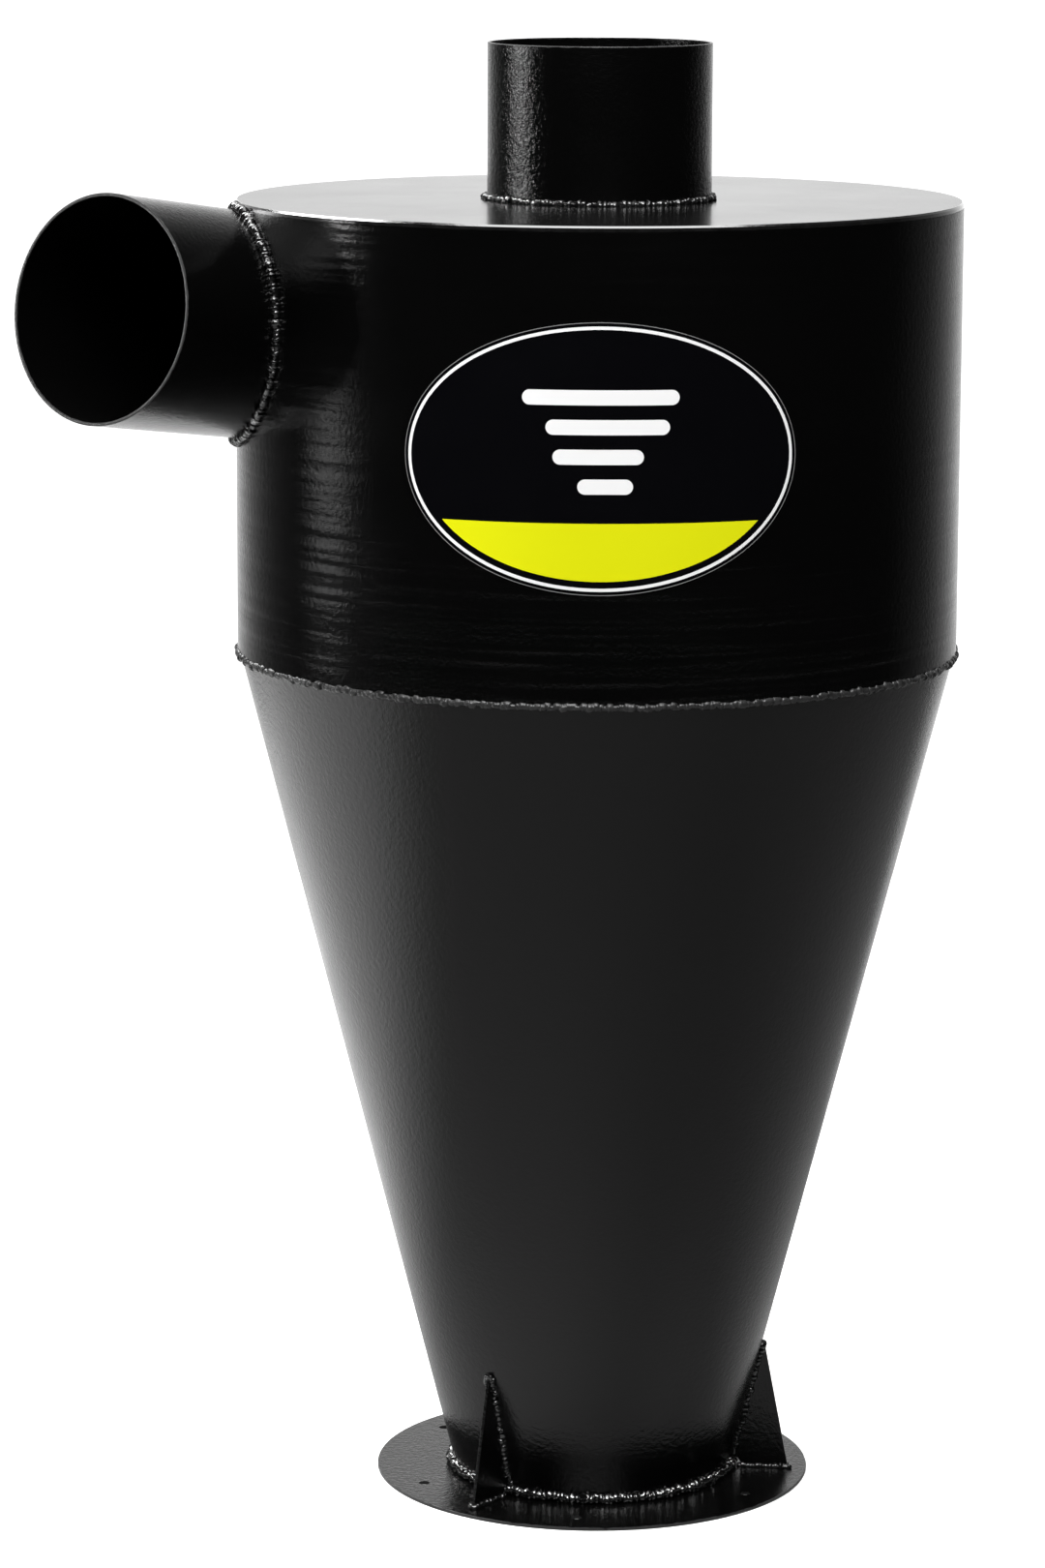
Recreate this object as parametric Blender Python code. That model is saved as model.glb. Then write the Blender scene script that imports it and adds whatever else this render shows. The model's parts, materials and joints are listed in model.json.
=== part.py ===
"""Cyclone dust collector: welded sheet-steel barrel, cone, two hose tubes and a bolt-on base.

Metres, +Z up. The origin is the centre of the base flange's underside, and the machine's own
axis is Z. The front, with the label, faces -Y.
"""

import math

import bmesh
import bpy
from mathutils import Matrix, Vector

# Shells
SHELL_WALL = 0.0015
BARREL_RADIUS = 0.162
BARREL_HEIGHT = 0.200
JOINT_STEP = 0.001
CONE_FOOT_RADIUS = 0.0635
CONE_HEIGHT = 0.382
LID_THICKNESS = 0.0015
LID_INSET = 0.001

# Hose tubes
OUTLET_RADIUS = 0.050
OUTLET_WALL = 0.0015
OUTLET_STUB = 0.069
OUTLET_DIP = 0.130
INLET_RADIUS = 0.050
INLET_WALL = 0.0015
INLET_REACH = 0.2105
INLET_AZIMUTH = math.radians(232.9)
INLET_SLOPE = math.radians(8.26)
INLET_INSET = 0.0015
INLET_HEADROOM = 0.002

# Base
FLANGE_WIDTH = 0.036
FLANGE_THICKNESS = 0.0015
BOLT_INSET = 0.0145
BOLT_HOLE_RADIUS = 0.0025
BOLT_HOLES = 6
FIRST_BOLT_ANGLE = math.radians(25.5)
GUSSETS = 3
GUSSET_THICKNESS = 0.0015
GUSSET_TOE_INSET = 0.0085
GUSSET_HEIGHT = 0.058
GUSSET_TIP = 0.0015
GUSSET_SNIPE = 0.0068
FIRST_GUSSET_ANGLE = math.radians(-6)

# Label
LABEL_WIDTH = 0.173
LABEL_HEIGHT = 0.115
LABEL_THICKNESS = 0.0003
LABEL_LIFT = 0.0045
LABEL_ANGLE = math.radians(-89.6)

# Weld beads
OUTLET_BEAD = 0.0011
INLET_BEAD = 0.0015
JOINT_BEAD = 0.001
BASE_BEAD = 0.0016
GUSSET_BEAD = 0.001
SEAM_WIDTH = 0.004
SEAM_HEIGHT = 0.0008
BARREL_SEAM_ANGLE = math.radians(95)
CONE_SEAM_ANGLE = math.radians(70)

# Fits and facets
GAP = 0.0003
ROUND = 72
HOLE_ROUND = 16
LABEL_COLUMNS = 28
BEAD_TURN = 4

# Heights, from the floor up, and the radii that follow from others
FLANGE_TOP = FLANGE_THICKNESS
CONE_FOOT = FLANGE_TOP + GAP
CONE_TOP = CONE_FOOT + CONE_HEIGHT
BARREL_FOOT = CONE_TOP + GAP
BARREL_TOP = BARREL_FOOT + BARREL_HEIGHT
LID_FOOT = BARREL_TOP + GAP
LID_TOP = LID_FOOT + LID_THICKNESS

CONE_TOP_RADIUS = BARREL_RADIUS - JOINT_STEP
FLANGE_RADIUS = CONE_FOOT_RADIUS + FLANGE_WIDTH
BOLT_CIRCLE_RADIUS = FLANGE_RADIUS - BOLT_INSET

CONE_SLOPE = (CONE_TOP_RADIUS - CONE_FOOT_RADIUS) / CONE_HEIGHT
CONE_SLANT = math.hypot(1, CONE_SLOPE)

# A gusset's own corners
GUSSET_FOOT = FLANGE_TOP + GAP
GUSSET_TOP = GUSSET_FOOT + GUSSET_HEIGHT
GUSSET_HEEL = GUSSET_FOOT + GUSSET_SNIPE
GUSSET_TOE = FLANGE_RADIUS - GUSSET_TOE_INSET


def cone_radius(z):
    """Outside radius of the cone at height z."""
    return CONE_FOOT_RADIUS + CONE_SLOPE * (z - CONE_FOOT)


def coat(name, colour, roughness):
    material = bpy.data.materials.new(name)
    material.use_nodes = True
    shader = material.node_tree.nodes["Principled BSDF"]
    shader.inputs["Base Color"].default_value = (*colour, 1)
    shader.inputs["Roughness"].default_value = roughness
    shader.inputs["Metallic"].default_value = 0
    return material


def add_object(name, data, material):
    data.materials.append(material)
    obj = bpy.data.objects.new(name, data)
    bpy.context.scene.collection.objects.link(obj)
    return obj


def add_mesh(name, bm, material):
    """A mesh object from bm, faces outwards, smooth on its round sides."""
    bmesh.ops.recalc_face_normals(bm, faces=bm.faces)
    mesh = bpy.data.meshes.new(name)
    bm.to_mesh(mesh)
    bm.free()
    mesh.shade_smooth()
    mesh.set_sharp_from_angle(angle=math.radians(30))
    return add_object(name, mesh, material)


def turned(name, outline, material):
    """A ring: a closed outline of (radius, height) points, turned about Z."""
    bm = bmesh.new()
    verts = [bm.verts.new((radius, 0, z)) for radius, z in outline]
    edges = [bm.edges.new((verts[i - 1], verts[i])) for i in range(len(verts))]
    bmesh.ops.spin(
        bm, geom=verts + edges, cent=(0, 0, 0), axis=(0, 0, 1),
        angle=math.tau, steps=ROUND, use_merge=True,
    )
    return add_mesh(name, bm, material)


def tube_outline(radius, wall, low, high):
    return [(radius - wall, low), (radius, low), (radius, high), (radius - wall, high)]


def add_rod(bm, radius, low, high, segments, at=(0, 0)):
    """A solid upright cylinder in bm."""
    place = Matrix.Translation((*at, (low + high) / 2))
    bmesh.ops.create_cone(
        bm, cap_ends=True, segments=segments, radius1=radius, radius2=radius,
        depth=high - low, matrix=place,
    )


def cut(target, cutter):
    """Takes the cutter out of the target, and leaves the cutter as a wire guide."""
    boolean = target.modifiers.new("cut", "BOOLEAN")
    boolean.operation = "DIFFERENCE"
    boolean.solver = "EXACT"
    boolean.object = cutter
    cutter.hide_render = True
    cutter.display_type = "WIRE"


def bead(name, path, radius, material, closed):
    """A rope of weld metal along a path, six-sided."""
    curve = bpy.data.curves.new(name, "CURVE")
    curve.dimensions = "3D"
    curve.bevel_depth = radius
    curve.bevel_resolution = 1
    curve.use_fill_caps = not closed
    spline = curve.splines.new("POLY")
    spline.points.add(len(path) - 1)
    for point, place in zip(spline.points, path):
        point.co = (*place, 1)
    spline.use_cyclic_u = closed
    return add_object(name, curve, material)


def ring_bead(name, ring_radius, z, radius, material):
    """A bead all round the machine's axis, its corners in line with the shells' facets."""
    turns = [math.tau * i / ROUND for i in range(ROUND)]
    path = [(ring_radius * math.cos(a), ring_radius * math.sin(a), z) for a in turns]
    return bead(name, path, radius, material, closed=True)


def stand_off(radius):
    """How far a bead's centre line stays from the faces that it joins."""
    return radius + GAP


def inlet_matrix():
    """The inlet's own frame: its Z runs along the tube, out to the mouth.

    Its origin is where the tube's axis passes closest to the machine's axis, and its X points
    away from the machine there. The tube slopes down into the barrel, just under the lid.
    """
    flat_out = Vector((math.cos(INLET_AZIMUTH), math.sin(INLET_AZIMUTH), 0))
    side = Vector((flat_out.y, -flat_out.x, 0))
    out = (flat_out + Vector((0, 0, math.tan(INLET_SLOPE)))).normalized()
    offset = BARREL_RADIUS - INLET_RADIUS - INLET_INSET
    run = math.sqrt(BARREL_RADIUS**2 - offset**2)
    climb = run * math.tan(INLET_SLOPE) + INLET_RADIUS / math.cos(INLET_SLOPE)
    centre = offset * side + Vector((0, 0, BARREL_TOP - INLET_HEADROOM - climb))
    turn = Matrix((side, out.cross(side), out)).transposed()
    return Matrix.Translation(centre) @ turn.to_4x4()


def saddle_point(turn, margin):
    """Where a line along the inlet tube leaves the barrel, both grown by the margin."""
    frame = inlet_matrix()
    reach = INLET_RADIUS + margin
    start = frame @ Vector((reach * math.cos(turn), reach * math.sin(turn), 0))
    along = frame.to_3x3() @ Vector((0, 0, 1))
    a = along.xy.length_squared
    b = start.xy.dot(along.xy)
    c = start.xy.length_squared - (BARREL_RADIUS + margin) ** 2
    return start + along * ((math.sqrt(b * b - a * c) - b) / a)


def make_base_flange(paint):
    bore = CONE_FOOT_RADIUS - SHELL_WALL * CONE_SLANT
    outline = tube_outline(FLANGE_RADIUS, FLANGE_RADIUS - bore, 0, FLANGE_TOP)
    flange = turned("base_flange", outline, paint)
    bm = bmesh.new()
    for i in range(BOLT_HOLES):
        angle = FIRST_BOLT_ANGLE + math.tau * i / BOLT_HOLES
        at = (BOLT_CIRCLE_RADIUS * math.cos(angle), BOLT_CIRCLE_RADIUS * math.sin(angle))
        add_rod(bm, BOLT_HOLE_RADIUS, -FLANGE_THICKNESS, 2 * FLANGE_THICKNESS, HOLE_ROUND, at)
    cut(flange, add_mesh("bolt_hole_cutter", bm, paint))


def make_cone(paint):
    wall = SHELL_WALL * CONE_SLANT
    outline = [
        (CONE_FOOT_RADIUS - wall, CONE_FOOT),
        (CONE_FOOT_RADIUS, CONE_FOOT),
        (CONE_TOP_RADIUS, CONE_TOP),
        (CONE_TOP_RADIUS - wall, CONE_TOP),
    ]
    turned("cone", outline, paint)


def make_barrel(paint):
    """The rolled barrel, with a hole that carries on the inlet tube's bore."""
    outline = tube_outline(BARREL_RADIUS, SHELL_WALL, BARREL_FOOT, BARREL_TOP)
    barrel = turned("barrel", outline, paint)
    bm = bmesh.new()
    add_rod(bm, INLET_RADIUS - INLET_WALL, 0, INLET_REACH, ROUND)
    cutter = add_mesh("inlet_bore_cutter", bm, paint)
    cutter.matrix_world = inlet_matrix()
    cut(barrel, cutter)


def make_inlet_tube(paint):
    """The slanted hose tube, its inner end cut to sit on the barrel's outside."""
    tube = turned("inlet_tube", tube_outline(INLET_RADIUS, INLET_WALL, 0, INLET_REACH), paint)
    tube.matrix_world = inlet_matrix()
    bm = bmesh.new()
    add_rod(bm, BARREL_RADIUS + GAP, 0, LID_TOP, ROUND)
    cut(tube, add_mesh("barrel_cutter", bm, paint))


def make_lid(paint):
    radius = BARREL_RADIUS - LID_INSET
    hole = OUTLET_RADIUS + GAP
    turned("lid", tube_outline(radius, radius - hole, LID_FOOT, LID_TOP), paint)


def make_outlet_tube(paint):
    """The clean-air tube: a hose stub above the lid and a vortex finder below it."""
    outline = tube_outline(OUTLET_RADIUS, OUTLET_WALL, LID_FOOT - OUTLET_DIP, LID_TOP + OUTLET_STUB)
    turned("outlet_tube", outline, paint)


def make_gusset(name, angle, paint):
    """A triangular stiffener on the flange and the cone, sniped to clear the cone's weld."""
    lean = GAP * CONE_SLANT
    outline = [
        (cone_radius(GUSSET_FOOT) + lean + GUSSET_SNIPE, GUSSET_FOOT),
        (GUSSET_TOE, GUSSET_FOOT),
        (GUSSET_TOE, GUSSET_FOOT + GUSSET_TIP),
        (cone_radius(GUSSET_TOP) + lean + GUSSET_TIP, GUSSET_TOP),
        (cone_radius(GUSSET_TOP) + lean, GUSSET_TOP),
        (cone_radius(GUSSET_HEEL) + lean, GUSSET_HEEL),
    ]
    bm = bmesh.new()
    face = bm.faces.new([bm.verts.new((x, -GUSSET_THICKNESS / 2, z)) for x, z in outline])
    extruded = bmesh.ops.extrude_face_region(bm, geom=[face])["geom"]
    moved = [item for item in extruded if isinstance(item, bmesh.types.BMVert)]
    bmesh.ops.translate(bm, verts=moved, vec=(0, GUSSET_THICKNESS, 0))
    add_mesh(name, bm, paint).rotation_euler.z = angle


def make_gusset_cone_weld(name, angle, weld):
    """Up one side of the gusset, round its tip and down the other side, on the cone."""
    off = stand_off(GUSSET_BEAD)
    side = GUSSET_THICKNESS / 2 + off
    heel = (cone_radius(GUSSET_HEEL) + off * CONE_SLANT, GUSSET_HEEL)
    path = [(heel[0], -side, heel[1])]
    for i in range(BEAD_TURN + 1):
        turn = math.pi * i / BEAD_TURN
        z = GUSSET_TOP + side * math.sin(turn)
        path.append((cone_radius(z) + off * CONE_SLANT, -side * math.cos(turn), z))
    path.append((heel[0], side, heel[1]))
    bead(name, path, GUSSET_BEAD, weld, closed=False).rotation_euler.z = angle


def make_gusset_base_weld(name, angle, weld):
    """Along one side of the gusset's foot, round its toe and back, on the flange."""
    off = stand_off(GUSSET_BEAD)
    side = GUSSET_THICKNESS / 2 + off
    z = FLANGE_TOP + off
    inner = cone_radius(GUSSET_FOOT) + GUSSET_SNIPE
    path = [(inner, -side, z)]
    for i in range(BEAD_TURN + 1):
        turn = math.pi * i / BEAD_TURN
        path.append((GUSSET_TOE + side * math.sin(turn), -side * math.cos(turn), z))
    path.append((inner, side, z))
    bead(name, path, GUSSET_BEAD, weld, closed=False).rotation_euler.z = angle


def make_gussets(paint, weld):
    for i in range(GUSSETS):
        name = f"gusset_{i + 1}"
        angle = FIRST_GUSSET_ANGLE + math.tau * i / GUSSETS
        make_gusset(name, angle, paint)
        make_gusset_cone_weld(name + "_cone_weld", angle, weld)
        make_gusset_base_weld(name + "_base_weld", angle, weld)


def make_lid_weld(weld):
    """The corner weld that fills the step round the lid, with a rounded outer edge."""
    inner = BARREL_RADIUS - LID_INSET + GAP
    round_off = (BARREL_RADIUS - inner) / 2
    outline = [
        (inner, LID_FOOT),
        (BARREL_RADIUS, LID_FOOT),
        (BARREL_RADIUS, LID_TOP - round_off),
        (BARREL_RADIUS - round_off, LID_TOP),
        (inner, LID_TOP),
    ]
    turned("lid_weld", outline, weld)


def make_round_welds(weld):
    off = stand_off(OUTLET_BEAD)
    ring_bead("outlet_weld", OUTLET_RADIUS + off, LID_TOP + off, OUTLET_BEAD, weld)

    off = stand_off(JOINT_BEAD)
    z = BARREL_FOOT - off
    ring_bead("barrel_cone_weld", cone_radius(z) + off * CONE_SLANT, z, JOINT_BEAD, weld)

    off = stand_off(BASE_BEAD)
    z = FLANGE_TOP + off
    ring_bead("cone_base_weld", cone_radius(z) + off * CONE_SLANT, z, BASE_BEAD, weld)


def make_inlet_weld(weld):
    """The saddle bead, where the inlet tube meets the barrel's outside."""
    off = stand_off(INLET_BEAD)
    path = [saddle_point(math.tau * i / ROUND, off) for i in range(ROUND)]
    bead("inlet_weld", path, INLET_BEAD, weld, closed=True)


def make_seam_weld(name, foot, head, angle, weld):
    """A flat bead down a rolled shell's seam, from a head to a foot of (radius, height)."""
    half, crown = SEAM_WIDTH / 2, SEAM_WIDTH / 5
    section = [(0, -half), (SEAM_HEIGHT, -crown), (SEAM_HEIGHT, crown), (0, half)]
    bm = bmesh.new()
    low, high = (
        [bm.verts.new((radius + proud, across, z)) for proud, across in section]
        for radius, z in (foot, head)
    )
    bm.faces.new(low)
    bm.faces.new(high)
    for i in range(len(section)):
        bm.faces.new((low[i - 1], low[i], high[i], high[i - 1]))
    add_mesh(name, bm, weld).rotation_euler.z = angle


def make_seam_welds(weld):
    radius = BARREL_RADIUS + GAP
    make_seam_weld(
        "barrel_seam_weld", (radius, BARREL_FOOT + GAP), (radius, BARREL_TOP),
        BARREL_SEAM_ANGLE, weld,
    )
    low = FLANGE_TOP + 2 * stand_off(BASE_BEAD) + GAP
    high = BARREL_FOOT - 2 * stand_off(JOINT_BEAD) - GAP
    lean = GAP * CONE_SLANT
    make_seam_weld(
        "cone_seam_weld", (cone_radius(low) + lean, low), (cone_radius(high) + lean, high),
        CONE_SEAM_ANGLE, weld,
    )


def make_label(vinyl):
    """An oval sticker, curved round the front of the barrel."""
    centre = (BARREL_FOOT + BARREL_TOP) / 2 + LABEL_LIFT
    inner = BARREL_RADIUS + GAP
    bm = bmesh.new()
    columns = []
    for i in range(LABEL_COLUMNS + 1):
        turn = math.pi * i / LABEL_COLUMNS
        angle = -LABEL_WIDTH / 2 * math.cos(turn) / BARREL_RADIUS
        rise = LABEL_HEIGHT / 2 * math.sin(turn)
        heights = (0,) if i in (0, LABEL_COLUMNS) else (-rise, rise)
        columns.append([
            [bm.verts.new((r * math.cos(angle), r * math.sin(angle), z)) for z in heights]
            for r in (inner, inner + LABEL_THICKNESS)
        ])
    for (back, front), (next_back, next_front) in zip(columns, columns[1:]):
        for near, far in ((back, next_back), (front, next_front)):
            bm.faces.new(near + far[::-1])
        bm.faces.new((back[0], front[0], next_front[0], next_back[0]))
        bm.faces.new((back[-1], front[-1], next_front[-1], next_back[-1]))
    label = add_mesh("label", bm, vinyl)
    label.location.z = centre
    label.rotation_euler.z = LABEL_ANGLE


def main():
    for obj in list(bpy.data.objects):
        bpy.data.objects.remove(obj)
    paint = coat("black_coat", (0.012, 0.012, 0.012), 0.3)
    weld = coat("coated_weld", (0.014, 0.014, 0.014), 0.2)
    vinyl = coat("label_vinyl", (0.02, 0.02, 0.02), 0.15)
    make_base_flange(paint)
    make_cone(paint)
    make_barrel(paint)
    make_inlet_tube(paint)
    make_lid(paint)
    make_outlet_tube(paint)
    make_gussets(paint, weld)
    make_lid_weld(weld)
    make_round_welds(weld)
    make_inlet_weld(weld)
    make_seam_welds(weld)
    make_label(vinyl)


main()
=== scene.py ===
import json
import math
import random

import bmesh
import bpy
from mathutils import Matrix, Vector


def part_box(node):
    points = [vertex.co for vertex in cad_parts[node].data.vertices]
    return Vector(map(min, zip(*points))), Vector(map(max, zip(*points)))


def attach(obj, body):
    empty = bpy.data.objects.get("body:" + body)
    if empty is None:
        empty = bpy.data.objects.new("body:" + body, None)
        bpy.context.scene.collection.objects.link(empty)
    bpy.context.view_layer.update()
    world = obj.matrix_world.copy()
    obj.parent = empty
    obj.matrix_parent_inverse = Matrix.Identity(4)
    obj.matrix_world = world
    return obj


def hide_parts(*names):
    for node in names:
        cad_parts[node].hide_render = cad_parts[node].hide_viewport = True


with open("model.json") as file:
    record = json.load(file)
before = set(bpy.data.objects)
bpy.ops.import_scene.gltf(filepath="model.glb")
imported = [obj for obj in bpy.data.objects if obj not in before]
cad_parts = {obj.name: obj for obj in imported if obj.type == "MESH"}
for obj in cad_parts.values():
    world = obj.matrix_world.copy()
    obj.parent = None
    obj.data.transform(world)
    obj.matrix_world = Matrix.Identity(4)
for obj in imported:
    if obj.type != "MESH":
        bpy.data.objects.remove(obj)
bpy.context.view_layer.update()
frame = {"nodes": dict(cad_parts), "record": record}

# Everything is in metres, as in the frame. The machine's own axis is Z, and its front faces -Y.

# Measuring: corners this close are at one height, or are one corner
LEVEL = 1e-5
SAME_CORNER = 1e-6

# Sheet metal
TURN_STEPS = 240
HOLE_STEPS = 40
RIM_ROUND = 0.0004
LID_EDGE_ROUND = 0.0001
GROUND_SHARE = 0.8
FLAT_ANGLE = math.radians(1)
SMOOTH_ANGLE = math.radians(40)

# Weld metal: one swelling for each ripple, and beads sunk into the sheets by a share of their size
ROUTE_SAMPLES = 200
RIPPLE_PITCH = 0.0022
POINTS_PER_RIPPLE = 6
FEWEST_RIPPLES = 4
RIPPLE_CURVE = 1.5
BEAD_SIDES = 5
END_SIZE = 0.35
BITE = 0.5
LUMP_SIZE = 0.0016
LUMP_SHARE = 0.45
OUTLET_BEAD = 0.0015
JOINT_BEAD = 0.0016
BASE_BEAD = 0.0025
BASE_BEAD_LIFT = 0.0023
INLET_BEAD = 0.0022
GUSSET_BEAD = 0.0018
GUSSET_FOOT_BEAD = 0.0014
GUSSET_BEAD_START = 0.004
SEAM_BEAD = 0.0012
JOINT_OFFSET = 0.0004
GUSSET_SEED = 20
SEED_STEP = 10
BARREL_SEAM_SEED = 61
CONE_SEAM_SEED = 62

# Label
LABEL_OUTLINE = 180
LABEL_CUTS = 36
LABEL_SKIN = 0.0003
LABEL_LIFT = 1.5 * LABEL_SKIN
LABEL_MARGIN = 0.0017
LABEL_STRIPE = 0.0014
LABEL_EDGE = 0.0003
LABEL_EDGE_BRIGHTNESS = 0.25
LABEL_GAP = 0.0028
BAND_TOP = -0.027

# Plain printed bars that narrow downwards, like an air funnel: half length, and shift to the right
FUNNEL_BARS = [(0.030, 0), (0.023, 0.003), (0.016, -0.001), (0.0085, 0.002)]
FUNNEL_TOP = 0.026
FUNNEL_PITCH = 0.0125
FUNNEL_HALF_HEIGHT = 0.0032

# Colours
COAT_BLACK = (0.0012, 0.0012, 0.0012, 1)
DUST_GREY = (0.035, 0.033, 0.03, 1)
WORN_GREY = (0.035, 0.035, 0.035, 1)
PRINT_BLACK = (0.0016, 0.0016, 0.0022, 1)
PRINT_YELLOW = (0.76, 0.78, 0.006, 1)
PRINT_WHITE = (0.9, 0.9, 0.9, 1)
WHITE = (1, 1, 1, 1)

# Finishes: what dust and wear add to the roughness, and the size of each effect in metres
DUST_ROUGHNESS = 0.3
WEAR_ROUGHNESS = 0.12
PEEL_SIZE = 0.002
PEEL_DEPTH = 0.0006
ROLLED_DEPTH = 0.001
SMUDGE_SIZE = 0.06
WELD_SMUDGE_SIZE = 0.006
WELD_PEEL_SIZE = 0.0009
WELD_PEEL_DEPTH = 0.0003
WELD_COAT_ROUGHNESS = 0.08
WELD_PEEL = 0.2
WELD_GLOSSIER = 0.05
WELD_DULLER = 0.1
LABEL_SMUDGE_SIZE = 0.03
LABEL_ROUGHNESS = (0.14, 0.2)

# Patterns: noise runs from 0 to 1, and each range is where it starts and stops showing
GRIT_FINER = 4
ROLLED_STRETCH = (0.04, 0.04, 1)
ROLLED_PATCHES = (0.35, 0.55)
SMUDGES = (0.35, 0.7)
DUST_UPRIGHTNESS = (0.6, 1)
DUST_SPECKS_A_METRE = 900
DUST_SPECKS = (0.5, 0.75)
WEAR_RUBS_A_METRE = 240
WEAR_START = 1.1
WEAR_FADE = (0, 0.25)

# Camera
CAMERA_PLACE = (0, -2.35618, 0.75448)
CAMERA_YAW = -0.01414
CAMERA_DIP = 0.18203
CAMERA_ROLL = 0.00345
CAMERA_LENS = 121.12
CAMERA_SENSOR = 36

# Studio: stops are (place, grey)
FLOOR_RADIUS = 1.4
FLOOR_STEPS = 96
# Painted light on the floor: its colour is lighter near the machine's foot, for what the machine
# mirrors and the light the floor throws back
FLOOR_PAINTED_LIGHT = [(0.15, 0.35), (0.27, 0.23), (0.45, 0.17), (1.0, 0.15)]
# Painted shade: the floor under the flange stays dark to the camera, so the bolt holes look dark
FLOOR_PAINTED_SHADE = (0.098, 0.1)
FLOOR_SEEN = 0.95
FLOOR_GLOW = 0.5
# A painted pool of light on the floor at the back left
PAINTED_POOL_SIDE = (-0.7, 0.7, 0)
PAINTED_POOL_REACH = (0.15, 0.42)
PAINTED_POOL_BRIGHTNESS = 0.45
BACKDROP_ROUND = [(0.0, 0.008), (0.6, 0.01), (0.72, 0.08), (0.8, 0.25), (0.88, 0.56), (1.0, 1.0)]
BACKDROP_UP = [(0.0, 0.8), (0.4, 1.0), (0.55, 1.0), (0.655, 0.52), (0.8, 0.25), (1.0, 0.25)]
BACKDROP_GLOW = 1.45
SIDE_DISTANCE = 1.5
SIDE_SHIFT = -0.04
SIDE_WIDTH = 0.30


# Selecting and small steps ---------------------------------------------------------------------

def pick(piece, kind, rule):
    """Selects the corners, edges or faces that the rule picks, in edit mode."""
    bpy.ops.mesh.select_mode(type=kind)
    bpy.ops.mesh.select_all(action="DESELECT")
    mesh = bmesh.from_edit_mesh(piece.data)
    items = {"VERT": mesh.verts, "EDGE": mesh.edges, "FACE": mesh.faces}[kind]
    for item in items:
        if rule(item):
            item.select_set(True)
    mesh.select_flush_mode()
    bmesh.update_edit_mesh(piece.data)


def named(name):
    """The object that was just added, under its own name."""
    piece = bpy.context.object
    piece.name = name
    return piece


def settle():
    """Puts the active object's place, turn and scale into its mesh."""
    bpy.ops.object.transform_apply(location=True, rotation=True, scale=True)


def choose(piece):
    bpy.ops.object.select_all(action="DESELECT")
    piece.select_set(True)
    bpy.context.view_layer.objects.active = piece


def apply_modifier(piece, kind, **values):
    modifier = piece.modifiers.new(kind.lower(), kind)
    for key, value in values.items():
        setattr(modifier, key, value)
    choose(piece)
    bpy.ops.object.modifier_apply(modifier=modifier.name)


def cut_away(piece, cutter):
    """Takes the cutter out of the piece and removes it."""
    apply_modifier(piece, "BOOLEAN", operation="DIFFERENCE", solver="EXACT", object=cutter)
    bpy.data.objects.remove(cutter)


def shade(piece):
    """Smooth round sides, flat plates and crisp cut edges."""
    choose(piece)
    bpy.ops.object.shade_smooth_by_angle(angle=SMOOTH_ANGLE)
    apply_modifier(piece, "WEIGHTED_NORMAL", keep_sharp=True)


def finish_piece(piece, material, slot, *nodes):
    """The piece gets its material, rides on the machine and stands for its CAD nodes."""
    piece.data.materials.clear()
    piece.data.materials.append(material)
    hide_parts(*nodes)
    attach(piece, "root")


# Sizes read from the frame ---------------------------------------------------------------------

def corners(node):
    return [vertex.co for vertex in frame["nodes"][node].data.vertices]


def reach_at(node, z):
    """Smallest and largest distance from the machine's axis of a node's corners at a height."""
    reaches = [corner.xy.length for corner in corners(node) if abs(corner.z - z) < LEVEL]
    return min(reaches), max(reaches)


def ring_size(node):
    """Foot height, head height, and inner and outer radius at both, of a turned CAD node."""
    low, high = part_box(node)[0].z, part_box(node)[1].z
    return low, high, reach_at(node, low), reach_at(node, high)


def inlet_axis():
    """The middle of the inlet's mouth, the direction out of it, and the tube's radii."""
    mount = next(m for m in frame["record"]["mounts"] if m["name"] == "inlet_rim")
    out = Vector(mount["axis"]).normalized()
    far = max(corner.dot(out) for corner in corners("inlet_tube"))
    rim = [corner for corner in corners("inlet_tube") if corner.dot(out) > far - LEVEL]
    mouth = Vector([(min(c[i] for c in rim) + max(c[i] for c in rim)) / 2 for i in range(3)])
    reaches = [(corner - mouth).length for corner in rim]
    return mouth, out, min(reaches), max(reaches)


# Sheet metal -----------------------------------------------------------------------------------

def turned_sheet(name, foot, head, wall, round_off=RIM_ROUND):
    """A ring of sheet: its section runs from a foot to a head of (outer radius, height)."""
    bpy.ops.mesh.primitive_plane_add(
        size=1, rotation=(math.pi / 2, 0, 0),
        location=(foot[0] - wall / 2, 0, (foot[1] + head[1]) / 2),
    )
    piece = named(name)
    piece.scale = (wall, head[1] - foot[1], 1)
    settle()
    bpy.ops.object.mode_set(mode="EDIT")
    middle = (foot[1] + head[1]) / 2
    pick(piece, "VERT", lambda vert: vert.co.z > middle)
    bpy.ops.transform.translate(value=(head[0] - foot[0], 0, 0))
    bpy.ops.mesh.select_all(action="SELECT")
    if round_off:
        bpy.ops.mesh.bevel(offset=round_off, segments=2, affect="VERTICES")
    spin_section()
    bpy.ops.object.mode_set(mode="OBJECT")
    return piece


def straight_sheet(name, node, round_off=RIM_ROUND):
    """A turned sheet with upright sides, of its CAD node's size."""
    low, high, foot, _ = ring_size(node)
    return turned_sheet(name, (foot[1], low), (foot[1], high), foot[1] - foot[0], round_off)


def spin_section():
    """Turns the selected section all round the machine's axis into one closed ring."""
    bpy.ops.mesh.select_all(action="SELECT")
    bpy.ops.mesh.delete(type="ONLY_FACE")
    bpy.ops.mesh.select_all(action="SELECT")
    bpy.ops.mesh.spin(
        steps=TURN_STEPS, angle=math.tau, center=(0, 0, 0), axis=(0, 0, 1), use_auto_merge=True
    )
    bpy.ops.mesh.select_all(action="SELECT")
    bpy.ops.mesh.remove_doubles(threshold=SAME_CORNER)
    bpy.ops.mesh.normals_make_consistent(inside=False)


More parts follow.
